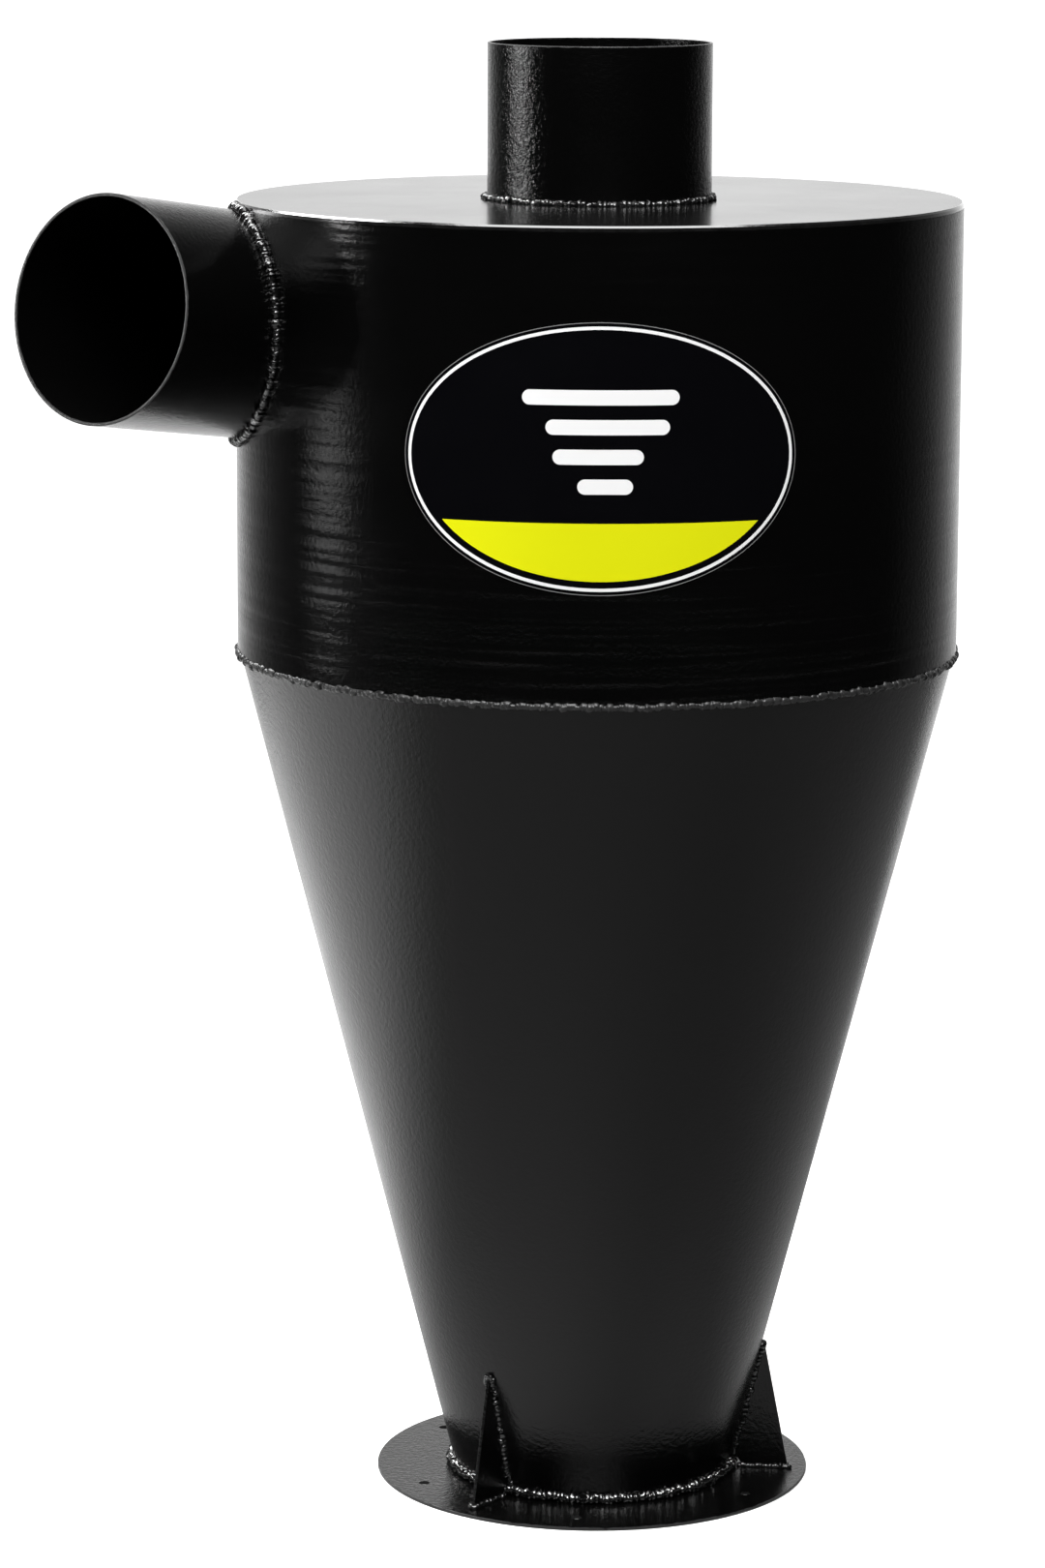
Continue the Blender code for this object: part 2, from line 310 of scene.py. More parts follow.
def rod(radius, low, high, steps=TURN_STEPS, place=(0, 0)):
    """An upright cutting rod."""
    bpy.ops.mesh.primitive_cylinder_add(
        vertices=steps, radius=radius, depth=high - low, location=(*place, (low + high) / 2)
    )
    cutter = named("cutter")
    settle()
    return cutter


def lay_on_inlet(piece, mouth, out):
    """Moves a piece made upright, with its head at the origin, onto the inlet tube's axis."""
    turn = out.to_track_quat("Z", "Y").to_matrix().to_4x4()
    piece.matrix_world = Matrix.Translation(mouth) @ turn
    choose(piece)
    settle()


def make_cone(paint):
    """The rolled cone, open at both ends."""
    low, high, foot, head = ring_size("cone")
    piece = turned_sheet("cone_shell", (foot[1], low), (head[1], high), foot[1] - foot[0])
    shade(piece)
    finish_piece(piece, paint, "black_coat", "cone")


def make_barrel(paint):
    """The rolled barrel, with the inlet's hole cut in its side."""
    piece = straight_sheet("barrel_shell", "barrel")
    mouth, out, bore, _ = inlet_axis()
    to_middle = mouth.xy.dot(out.xy) / out.xy.length_squared
    cutter = rod(bore, -to_middle, 0)
    lay_on_inlet(cutter, mouth, out)
    cut_away(piece, cutter)
    shade(piece)
    finish_piece(piece, paint, "black_coat", "barrel")


def make_inlet_duct(paint):
    """The slanted hose tube, its inner end cut round to lie on the barrel."""
    mouth, out, bore, radius = inlet_axis()
    barrel_low, barrel_high, barrel, _ = ring_size("barrel")
    length = 2 * barrel[1]
    piece = turned_sheet("inlet_duct", (radius, -length), (radius, 0), radius - bore)
    lay_on_inlet(piece, mouth, out)
    cut_away(piece, rod(barrel[1], barrel_low - length, barrel_high + length))
    keep_outer_part(piece, out)
    shade(piece)
    finish_piece(piece, paint, "black_coat", "inlet_tube")


def keep_outer_part(piece, out):
    """Deletes what the cut left on the far side of the barrel."""
    bpy.ops.object.mode_set(mode="EDIT")
    pick(piece, "VERT", lambda vert: vert.co.xy.dot(out.xy) < 0)
    bpy.ops.mesh.delete(type="VERT")
    bpy.ops.object.mode_set(mode="OBJECT")


def make_outlet_duct(paint):
    """The upright hose tube, which reaches down through the lid into the barrel."""
    piece = straight_sheet("outlet_duct", "outlet_tube")
    shade(piece)
    finish_piece(piece, paint, "black_coat", "outlet_tube")


def make_lid(paint, weld):
    """The flat lid, and the ground corner weld that joins it to the barrel."""
    low, high, foot, _ = ring_size("lid")
    piece = straight_sheet("lid_plate", "lid", LID_EDGE_ROUND)
    shade(piece)
    finish_piece(piece, paint, "black_coat", "lid")
    barrel = ring_size("barrel")[2][1]
    wall = barrel - foot[1]
    corner = turned_sheet("lid_corner", (barrel, low - wall), (barrel, high), wall, 0)
    grind_outer_corner(corner, barrel, high, wall)
    shade(corner)
    finish_piece(corner, weld, "coated_weld", "lid_weld")


def grind_outer_corner(piece, radius, top, size):
    """Takes the upper outer edge of a turned ring down to a flat slope."""
    bpy.ops.object.mode_set(mode="EDIT")
    pick(piece, "EDGE", lambda edge: all(
        vert.co.z > top - size / 4 and vert.co.xy.length > radius - size / 4
        for vert in edge.verts
    ))
    bpy.ops.mesh.bevel(offset=size * GROUND_SHARE, segments=1, clamp_overlap=True)
    bpy.ops.object.mode_set(mode="OBJECT")


def bolt_hole_places():
    """Each flange hole's middle and radius, from the small rings of corners in the CAD flange."""
    low, _, foot, _ = ring_size("base_flange")
    clear = (foot[1] - foot[0]) / 10
    inside = [
        corner.xy for corner in corners("base_flange")
        if abs(corner.z - low) < LEVEL and foot[0] + clear < corner.xy.length < foot[1] - clear
    ]
    groups = []
    for point in inside:
        near = [group for group in groups if (group[0] - point).length < clear * 3]
        if near:
            near[0].append(point)
        else:
            groups.append([point])
    middles = [sum(group, Vector((0, 0))) / len(group) for group in groups]
    radii = [max((point - group[0]).length for point in group) / 2 for group in groups]
    return list(zip(middles, radii))


def make_flange(paint):
    """The round bolt-on plate and its holes."""
    low, high, _, _ = ring_size("base_flange")
    piece = straight_sheet("flange_plate", "base_flange")
    for place, radius in bolt_hole_places():
        cut_away(piece, rod(radius, low - high, 2 * high, HOLE_STEPS, place))
    shade(piece)
    finish_piece(piece, paint, "black_coat", "base_flange")


def make_gusset(node, paint):
    """A plate on the CAD gusset's own corners, its sheared edges slightly rounded."""
    mesh = frame["nodes"][node].data.copy()
    piece = bpy.data.objects.new(node.replace("gusset", "gusset_plate"), mesh)
    bpy.context.scene.collection.objects.link(piece)
    choose(piece)
    bpy.ops.object.mode_set(mode="EDIT")
    bpy.ops.mesh.select_all(action="SELECT")
    bpy.ops.mesh.remove_doubles(threshold=LEVEL)
    bpy.ops.mesh.dissolve_limited(angle_limit=FLAT_ANGLE)
    bpy.ops.object.mode_set(mode="OBJECT")
    apply_modifier(piece, "BEVEL", width=RIM_ROUND / 2, segments=2)
    shade(piece)
    finish_piece(piece, paint, "black_coat", node)


# Weld metal ------------------------------------------------------------------------------------

def weld_bead(
    name, node, route, radius, weld,
    closed=True, ripple=0.45, wander=0.22, lumps=LUMP_SHARE, seed=1,
):
    """A bead of weld metal: it swells once for each ripple and wanders a little off its route.

    The route gives a point for each share of the way, from 0 to 1.
    """
    rough = [route(i / ROUTE_SAMPLES) for i in range(ROUTE_SAMPLES + 1)]
    length = sum((b - a).length for a, b in zip(rough, rough[1:]))
    ripples = max(FEWEST_RIPPLES, round(length / RIPPLE_PITCH))
    count = ripples * POINTS_PER_RIPPLE
    chance = random.Random(seed)
    sizes = [1 + chance.uniform(-wander, wander) for _ in range(ripples)]
    slips = [
        Vector([chance.uniform(-wander, wander) * radius for _ in range(3)]) for _ in range(ripples)
    ]
    bpy.ops.mesh.primitive_circle_add(vertices=count, radius=radius, fill_type="NOTHING")
    piece = named(name)
    steps = count if closed else count - 1
    for vertex in piece.data.vertices:
        slip = slips[min(vertex.index // POINTS_PER_RIPPLE, ripples - 1)]
        vertex.co = route(vertex.index / steps) + slip
    if not closed:
        open_ring(piece, count)
    bpy.ops.object.convert(target="CURVE")
    curve = piece.data
    curve.bevel_depth = radius
    curve.bevel_resolution = BEAD_SIDES
    curve.use_fill_caps = not closed
    start = rough[0]
    points = curve.splines[0].points
    backwards = (points[0].co.xyz - start).length > (points[-1].co.xyz - start).length
    for i, point in enumerate(points):
        step = count - 1 - i if backwards else i
        within = (step % POINTS_PER_RIPPLE) / POINTS_PER_RIPPLE
        swell = 1 - ripple * within ** RIPPLE_CURVE
        point.radius = swell * sizes[min(step // POINTS_PER_RIPPLE, ripples - 1)]
        if not closed:
            edge = min(step, count - 1 - step) / POINTS_PER_RIPPLE
            point.radius *= math.sqrt(min(1, END_SIZE + edge))
    choose(piece)
    bpy.ops.object.convert(target="MESH")
    choose(piece)
    bpy.ops.object.mode_set(mode="EDIT")
    bpy.ops.mesh.select_all(action="SELECT")
    bpy.ops.mesh.remove_doubles(threshold=SAME_CORNER)
    bpy.ops.mesh.normals_make_consistent(inside=False)
    bpy.ops.object.mode_set(mode="OBJECT")
    settle()
    roughen(piece, lumps * radius)
    bpy.ops.object.shade_smooth()
    finish_piece(piece, weld, "coated_weld", node)
    return piece


def roughen(piece, height):
    """Gives frozen weld metal its uneven lumps."""
    lumps = bpy.data.textures.get("lumps") or bpy.data.textures.new("lumps", "CLOUDS")
    lumps.noise_scale = LUMP_SIZE
    lumps.noise_depth = 1
    apply_modifier(piece, "DISPLACE", texture=lumps, texture_coords="LOCAL", strength=height)


def open_ring(piece, count):
    """Takes out the edge that joins a ring of corners' end to its start."""
    bpy.ops.object.mode_set(mode="EDIT")
    pick(piece, "EDGE", lambda edge: {v.index for v in edge.verts} == {0, count - 1})
    bpy.ops.mesh.delete(type="EDGE_FACE")
    bpy.ops.object.mode_set(mode="OBJECT")


def ring_route(radius, z):
    """Once round the machine's axis, level."""
    return lambda share: Vector((
        radius * math.cos(math.tau * share), radius * math.sin(math.tau * share), z
    ))


def straight_route(start, end):
    """Straight from one point to another."""
    return lambda share: start.lerp(end, share)


def saddle_route(mouth, out, tube, barrel):
    """Along the line where the inlet tube meets the barrel, both of these radii."""
    side = out.orthogonal().normalized()
    down = out.cross(side)

    def place(share):
        turn = math.tau * share
        start = mouth + tube * (math.cos(turn) * side + math.sin(turn) * down)
        a = out.xy.length_squared
        b = start.xy.dot(out.xy)
        c = start.xy.length_squared - barrel ** 2
        return start + out * ((math.sqrt(max(b * b - a * c, 0)) - b) / a)

    return place


def hairpin_route(start, toe, half, axis_side, climb):
    """Up one side of a plate, round its tip and down the other side."""
    straight = (toe - start).length
    turn_length = math.pi * half
    total = 2 * straight + turn_length

    def place(share):
        run = share * total
        if run < straight:
            return start.lerp(toe, run / straight) - half * axis_side
        run -= straight
        if run < turn_length:
            turn = math.pi * run / turn_length
            return toe - half * math.cos(turn) * axis_side + half * math.sin(turn) * climb
        run -= turn_length
        return toe.lerp(start, min(1, run / straight)) + half * axis_side

    return place


def make_round_beads(weld, bright_weld, dull_weld):
    """The level beads round the outlet tube, between barrel and cone, and round the cone's foot."""
    outlet = ring_size("outlet_tube")[2][1] + BITE * OUTLET_BEAD
    lid_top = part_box("lid")[1].z
    route = ring_route(outlet, lid_top + BITE * OUTLET_BEAD)
    bead = weld_bead(
        "outlet_bead", "outlet_weld", route, OUTLET_BEAD, weld,
        ripple=0.55, wander=0.35, lumps=0.75, seed=3,
    )
    clear_bore(bead, "outlet_tube")
    _, cone_top, cone_foot, cone_head = ring_size("cone")
    route = ring_route(cone_head[1] + JOINT_OFFSET, cone_top - JOINT_OFFSET)
    weld_bead(
        "barrel_cone_bead", "barrel_cone_weld", route, JOINT_BEAD, dull_weld,
        ripple=0.12, wander=0.3, lumps=0.25, seed=5,
    )
    flange_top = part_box("base_flange")[1].z
    route = ring_route(cone_foot[1] + BITE * BASE_BEAD, flange_top + BASE_BEAD_LIFT)
    bead = weld_bead(
        "cone_base_bead", "cone_base_weld", route, BASE_BEAD, bright_weld, lumps=0.6, seed=7
    )
    clear_bore(bead, "cone")


def clear_bore(bead, node):
    """Presses back what reached through a sheet's wall into the way of the air."""
    _, _, foot, _ = ring_size(node)
    wall_middle = (foot[0] + foot[1]) / 2
    for vertex in bead.data.vertices:
        reach = vertex.co.xy.length
        if reach < wall_middle:
            vertex.co.xy *= wall_middle / reach


def make_inlet_bead(weld):
    """The bead along the saddle where the inlet tube meets the barrel."""
    mouth, out, _, tube = inlet_axis()
    barrel = ring_size("barrel")[2][1]
    radius = INLET_BEAD
    route = saddle_route(mouth, out, tube + BITE * radius, barrel + BITE * radius)
    weld_bead("inlet_bead", "inlet_weld", route, radius, weld, seed=11)


def make_gusset_beads(node, weld, seed):
    """The two beads that hold a gusset: up its edge on the cone, and along its foot."""
    points = corners(node)
    middle = sum(points, Vector()) / len(points)
    outwards = Vector((middle.x, middle.y, 0)).normalized()
    across = Vector((-outwards.y, outwards.x, 0))
    half = max(abs(point.dot(across)) for point in points)
    low, high, foot, head = ring_size("cone")
    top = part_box(node)[1].z
    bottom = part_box(node)[0].z
    slope = (head[1] - foot[1]) / (high - low)
    radius = GUSSET_BEAD
    off = BITE * radius / 2

    def on_cone(z):
        return outwards * (foot[1] + slope * (z - low) + off) + Vector((0, 0, z))

    up = (on_cone(top) - on_cone(bottom)).normalized()
    start = on_cone(bottom + GUSSET_BEAD_START)
    route = hairpin_route(start, on_cone(top), half + off, across, up)
    weld_bead(
        node + "_cone_bead", node + "_cone_weld", route, radius, weld, closed=False, seed=seed
    )
    radius = GUSSET_FOOT_BEAD
    off = BITE * radius / 2
    toe = max(point.dot(outwards) for point in points)
    level = Vector((0, 0, bottom + off))
    start = outwards * (foot[1] + GUSSET_BEAD_START) + level
    route = hairpin_route(start, outwards * toe + level, half + off, across, outwards)
    weld_bead(
        node + "_base_bead", node + "_base_weld", route, radius, weld, closed=False, seed=seed + 1
    )


def make_seam_bead(name, node, weld, seed):
    """A low bead down a rolled shell's closing seam."""
    low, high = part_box(node)[0].z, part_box(node)[1].z
    foot = middle_at(node, low)
    head = middle_at(node, high)
    weld_bead(name, node, straight_route(foot, head), SEAM_BEAD, weld, closed=False, seed=seed)


def middle_at(node, z):
    """The inner edge's middle of a seam node at a height."""
    level = [corner for corner in corners(node) if abs(corner.z - z) < LEVEL]
    return sum(level, Vector()) / len(level)


# Label -----------------------------------------------------------------------------------------

def label_size():
    """The sticker's width and height as it lies flat, and its turn round the barrel."""
    low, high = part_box("label")
    angles = [math.atan2(point.x, -point.y) for point in corners("label")]
    width = (max(angles) - min(angles)) * ring_size("barrel")[2][1]
    return width, high.z - low.z, (max(angles) + min(angles)) / 2


def make_label(print_material):
    """An oval sticker: a flat disc cut into strips, thickened and bent round the barrel."""
    low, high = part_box("label")
    barrel = ring_size("barrel")[2][1]
    width, height, lean = label_size()
    bpy.ops.mesh.primitive_circle_add(
        vertices=LABEL_OUTLINE, radius=0.5, fill_type="NGON", rotation=(math.pi / 2, 0, 0)
    )
    piece = named("label_sticker")
    piece.scale = (width, height, 1)
    settle()
    bpy.ops.object.mode_set(mode="EDIT")
    for i in range(1, LABEL_CUTS):
        bpy.ops.mesh.select_all(action="SELECT")
        bpy.ops.mesh.bisect(plane_co=(width * (i / LABEL_CUTS - 0.5), 0, 0), plane_no=(1, 0, 0))
    bpy.ops.object.mode_set(mode="OBJECT")
    print_map = piece.data.uv_layers.new(name="print")
    for loop in piece.data.loops:
        place = piece.data.vertices[loop.vertex_index].co
        print_map.data[loop.index].uv = (place.x / width + 0.5, place.z / height + 0.5)
    apply_modifier(piece, "SOLIDIFY", thickness=LABEL_SKIN, offset=-1)
    apply_modifier(
        piece, "SIMPLE_DEFORM", deform_method="BEND", deform_axis="Z", angle=width / barrel
    )
    piece.location = (0, -barrel - LABEL_LIFT, (low.z + high.z) / 2)
    settle()
    piece.rotation_euler.z = lean
    settle()
    shade(piece)
    finish_piece(piece, print_material, "label_vinyl", "label")


# Materials -------------------------------------------------------------------------------------

class Nodes:
    """Short ways to add and join the nodes of one material, group or world."""

    def __init__(self, tree):
        self.tree = tree

    def add(self, kind, *inputs, **values):
        node = self.tree.nodes.new("ShaderNode" + kind)
        for key, value in values.items():
            setattr(node, key, value)
        for socket, source in inputs:
            self.join(node.inputs[socket], source)
        return node

    def join(self, socket, source):
        if isinstance(source, bpy.types.Node):
            source = source.outputs[0]
        if isinstance(source, bpy.types.NodeSocket):
            self.tree.links.new(source, socket)
        else:
            socket.default_value = source

    def math(self, operation, *terms):
        return self.add("Math", *enumerate(terms), operation=operation).outputs[0]

    def ramp(self, source, *stops):
        """A colour ramp of (place, grey) stops."""
        node = self.add("ValToRGB", (0, source))
        elements = node.color_ramp.elements
        elements.remove(elements[1])
        elements[0].position = stops[0][0]
        for place, grey in stops:
            element = elements[0] if place == stops[0][0] else elements.new(place)
            element.color = (grey, grey, grey, 1)
        return node.outputs[0]

    def range(self, source, low, high, to_low=0, to_high=1):
        return self.add(
            "MapRange", (0, source), (1, low), (2, high), (3, to_low), (4, to_high)
        ).outputs[0]


def new_group(name, inputs, outputs):
    """An empty node group with its sockets.

    Inputs are (name, default): a default of None makes a vector socket.
    """
    tree = bpy.data.node_groups.new(name, "ShaderNodeTree")
    for label, default in inputs:
        kind = "NodeSocketVector" if default is None else "NodeSocketFloat"
        socket = tree.interface.new_socket(label, in_out="INPUT", socket_type=kind)
        if default is not None:
            socket.default_value = default
    for label in outputs:
        tree.interface.new_socket(label, in_out="OUTPUT", socket_type="NodeSocketFloat")
    nodes = Nodes(tree)
    return nodes, tree.nodes.new("NodeGroupInput").outputs, tree.nodes.new("NodeGroupOutput").inputs


def orange_peel_group():
    """The fine pebbling of a baked powder coat: small round bumps and finer grit."""
    nodes, given, out = new_group(
        "orange peel", [("Vector", None), ("Size", 0.0015), ("Grit", 0.3)], ["Height"]
    )
    scale = nodes.math("DIVIDE", 1, given["Size"])
    pebbles = nodes.add("TexNoise", ("Vector", given["Vector"]), ("Scale", scale), ("Detail", 2))
    fine = nodes.math("MULTIPLY", scale, GRIT_FINER)
    grit = nodes.add("TexNoise", ("Vector", given["Vector"]), ("Scale", fine), ("Detail", 1))
    share = nodes.math("MULTIPLY", grit.outputs[0], given["Grit"])
    nodes.join(out["Height"], nodes.math("ADD", pebbles.outputs[0], share))
    return nodes.tree


def rolling_marks_group():
    """Faint level lines that the bending rolls leave in a sheet, strong in some patches only."""
    nodes, given, out = new_group(
        "rolling marks", [("Vector", None), ("Spacing", 0.005), ("Patch", 0.12)], ["Height"]
    )
    thin = nodes.math("DIVIDE", 1, given["Spacing"])
    stretched = nodes.add("Mapping", ("Vector", given["Vector"]), ("Scale", ROLLED_STRETCH))
    lines = nodes.add("TexNoise", ("Vector", stretched), ("Scale", thin), ("Detail", 1))
    wide = nodes.math("DIVIDE", 1, given["Patch"])
    patches = nodes.add("TexNoise", ("Vector", given["Vector"]), ("Scale", wide), ("Detail", 1))
    mask = nodes.range(patches.outputs[0], *ROLLED_PATCHES)
    nodes.join(out["Height"], nodes.math("MULTIPLY", lines.outputs[0], mask))
    return nodes.tree


def handling_group():
    """Soft smudges from handling, as a mask from 0 to 1."""
    nodes, given, out = new_group("handling", [("Vector", None), ("Size", 0.05)], ["Mask"])
    scale = nodes.math("DIVIDE", 1, given["Size"])
    smudge = nodes.add(
        "TexNoise", ("Vector", given["Vector"]), ("Scale", scale), ("Detail", 4), ("Roughness", 0.6)
    )
    nodes.join(out["Mask"], nodes.range(smudge.outputs[0], *SMUDGES))
    return nodes.tree


def dust_group():
    """Fine dust that settles on what faces up, as a mask from 0 to 1."""
    nodes, given, out = new_group("settled dust", [("Vector", None), ("Amount", 0.3)], ["Mask"])
    normal = nodes.add("NewGeometry").outputs["Normal"]
    up = nodes.add("SeparateXYZ", (0, normal)).outputs["Z"]
    level = nodes.range(up, *DUST_UPRIGHTNESS)
    specks = nodes.add(
        "TexNoise", ("Vector", given["Vector"]), ("Scale", DUST_SPECKS_A_METRE), ("Detail", 3)
    )
    grains = nodes.range(specks.outputs[0], *DUST_SPECKS)
    settled = nodes.math("MULTIPLY", level, grains)
    nodes.join(out["Mask"], nodes.math("MULTIPLY", settled, given["Amount"]))
    return nodes.tree


def edge_wear_group():
    """Paint rubbed thin beside an edge, as a mask from 0 to 1 that fades with distance from it."""
    nodes, given, out = new_group(
        "edge wear", [("Vector", None), ("Distance", 1), ("Width", 0.0014)], ["Mask"]
    )
    nearness = nodes.math("SUBTRACT", 1, nodes.math("DIVIDE", given["Distance"], given["Width"]))
    rubs = nodes.add(
        "TexNoise", ("Vector", given["Vector"]), ("Scale", WEAR_RUBS_A_METRE), ("Detail", 4)
    )
    worn = nodes.math("ADD", nearness, nodes.math("SUBTRACT", rubs.outputs[0], WEAR_START))
    nodes.join(out["Mask"], nodes.range(worn, *WEAR_FADE))
    return nodes.tree


class Finishes:
    """The object's materials, each built from the shared groups with its own values."""

    def __init__(self):
        self.peel = orange_peel_group()
        self.rolled = rolling_marks_group()
        self.handled = handling_group()
        self.dust = dust_group()
        self.wear = edge_wear_group()

    def start(self, name, ior):
        material = bpy.data.materials.new(name)
        material.use_nodes = True
        nodes = Nodes(material.node_tree)
        shader = material.node_tree.nodes["Principled BSDF"]
        shader.inputs["IOR"].default_value = ior
        place = nodes.add("TexCoord").outputs["Object"]
        return material, nodes, shader, place

    def group(self, nodes, tree, *inputs):
        """A shared group placed in a material with its own values."""
        node = nodes.tree.nodes.new("ShaderNodeGroup")
        node.node_tree = tree
        for socket, source in inputs:
            nodes.join(node.inputs[socket], source)
        return node.outputs[0]

    def black_coat(
        self, name, rough=0.19, rolled=0.0, dusty=0.1, peel=0.28, smear=0.035, ior=1.42, edge=None,
    ):
        """Satin black powder coat on sheet steel.

        A rim to wear is given as its direction and its place along that: a direction of None is
        a round rim, and its place is then the rim's radius.
        """
        material, nodes, shader, place = self.start(name, ior)
        dust = self.group(nodes, self.dust, ("Vector", place), ("Amount", dusty))
        smudge = self.group(nodes, self.handled, ("Vector", place), ("Size", SMUDGE_SIZE))
        colour = nodes.add("Mix", ("Factor", dust), data_type="RGBA")
        colour.inputs["A"].default_value = COAT_BLACK
        colour.inputs["B"].default_value = DUST_GREY
        rubbed = colour.outputs["Result"]
        gloss = nodes.range(smudge, 0, 1, rough - smear, rough + smear)
        gloss = nodes.math("ADD", gloss, nodes.math("MULTIPLY", dust, DUST_ROUGHNESS))
        if edge:
            away = self.distance(nodes, place, *edge)
            wear = self.group(nodes, self.wear, ("Vector", place), ("Distance", away))
            bare = nodes.add("Mix", ("Factor", wear), ("A", rubbed), data_type="RGBA")
            bare.inputs["B"].default_value = WORN_GREY
            rubbed = bare.outputs["Result"]
            gloss = nodes.math("ADD", gloss, nodes.math("MULTIPLY", wear, WEAR_ROUGHNESS))
        nodes.join(shader.inputs["Base Color"], rubbed)
        nodes.join(shader.inputs["Roughness"], gloss)
        height = self.group(nodes, self.peel, ("Vector", place), ("Size", PEEL_SIZE))
        peel_bump = nodes.add(
            "Bump", ("Strength", peel), ("Distance", PEEL_DEPTH), ("Height", height)
        )
        last = peel_bump
        if rolled:
            lines = self.group(nodes, self.rolled, ("Vector", place))
            last = nodes.add(
                "Bump", ("Strength", rolled), ("Distance", ROLLED_DEPTH), ("Height", lines),
                ("Normal", peel_bump),
            )
        nodes.join(shader.inputs["Normal"], last)
        return material

    def distance(self, nodes, place, direction, where):
        """How far each point of the surface lies from a rim."""
        if direction is None:
            level = nodes.add("VectorMath", (0, place), (1, (1, 1, 0)), operation="MULTIPLY")
            along = nodes.add("VectorMath", (0, level), operation="LENGTH").outputs["Value"]
        else:
            along = nodes.add("VectorMath", (0, place), (1, direction), operation="DOT_PRODUCT")
            along = along.outputs["Value"]
        return nodes.math("ABSOLUTE", nodes.math("SUBTRACT", where, along))

    def weld_coat(self, name, rough=0.12, ior=1.6, coat=0.5, grey=0.003):
        """The same coat over rippled weld metal, thicker and glossier."""
        material, nodes, shader, place = self.start(name, ior)
        shader.inputs["Coat Weight"].default_value = coat
        shader.inputs["Coat Roughness"].default_value = WELD_COAT_ROUGHNESS
        smudge = self.group(nodes, self.handled, ("Vector", place), ("Size", WELD_SMUDGE_SIZE))
        colour = nodes.add("Mix", ("Factor", smudge), data_type="RGBA")
        colour.inputs["A"].default_value = (grey, grey, grey, 1)
        colour.inputs["B"].default_value = (3 * grey, 3 * grey, 3 * grey, 1)
        nodes.join(shader.inputs["Base Color"], colour.outputs["Result"])
        gloss = nodes.range(smudge, 0, 1, rough - WELD_GLOSSIER, rough + WELD_DULLER)
        nodes.join(shader.inputs["Roughness"], gloss)
        height = self.group(nodes, self.peel, ("Vector", place), ("Size", WELD_PEEL_SIZE))
        bump = nodes.add(
            "Bump", ("Strength", WELD_PEEL), ("Distance", WELD_PEEL_DEPTH), ("Height", height)
        )
        nodes.join(shader.inputs["Normal"], bump)
        return material


def oval_mask_group():
    """A mask that is 1 inside an oval of the given half sizes and 0 outside."""
    nodes, given, out = new_group(
        "oval mask", [("X", 0), ("Z", 0), ("Half width", 1), ("Half height", 1)], ["Mask"]
    )
    across = nodes.math("POWER", nodes.math("DIVIDE", given["X"], given["Half width"]), 2)
    upwards = nodes.math("POWER", nodes.math("DIVIDE", given["Z"], given["Half height"]), 2)
    nodes.join(out["Mask"], nodes.math("LESS_THAN", nodes.math("ADD", across, upwards), 1))
    return nodes.tree


def bar_mask_group():
    """A mask that is 1 inside a level bar with round ends and 0 outside."""
    nodes, given, out = new_group(
        "bar mask",
        [
            ("X", 0), ("Z", 0), ("Middle x", 0), ("Middle z", 0), ("Half length", 0.02),
            ("Half height", 0.003),
        ],
        ["Mask"],
    )
    along = nodes.math("ABSOLUTE", nodes.math("SUBTRACT", given["X"], given["Middle x"]))
    past = nodes.math("MAXIMUM", nodes.math("SUBTRACT", along, given["Half length"]), 0)
    above = nodes.math("SUBTRACT", given["Z"], given["Middle z"])
    squares = nodes.math("ADD", nodes.math("POWER", past, 2), nodes.math("POWER", above, 2))
    limit = nodes.math("POWER", given["Half height"], 2)
    nodes.join(out["Mask"], nodes.math("LESS_THAN", squares, limit))
    return nodes.tree


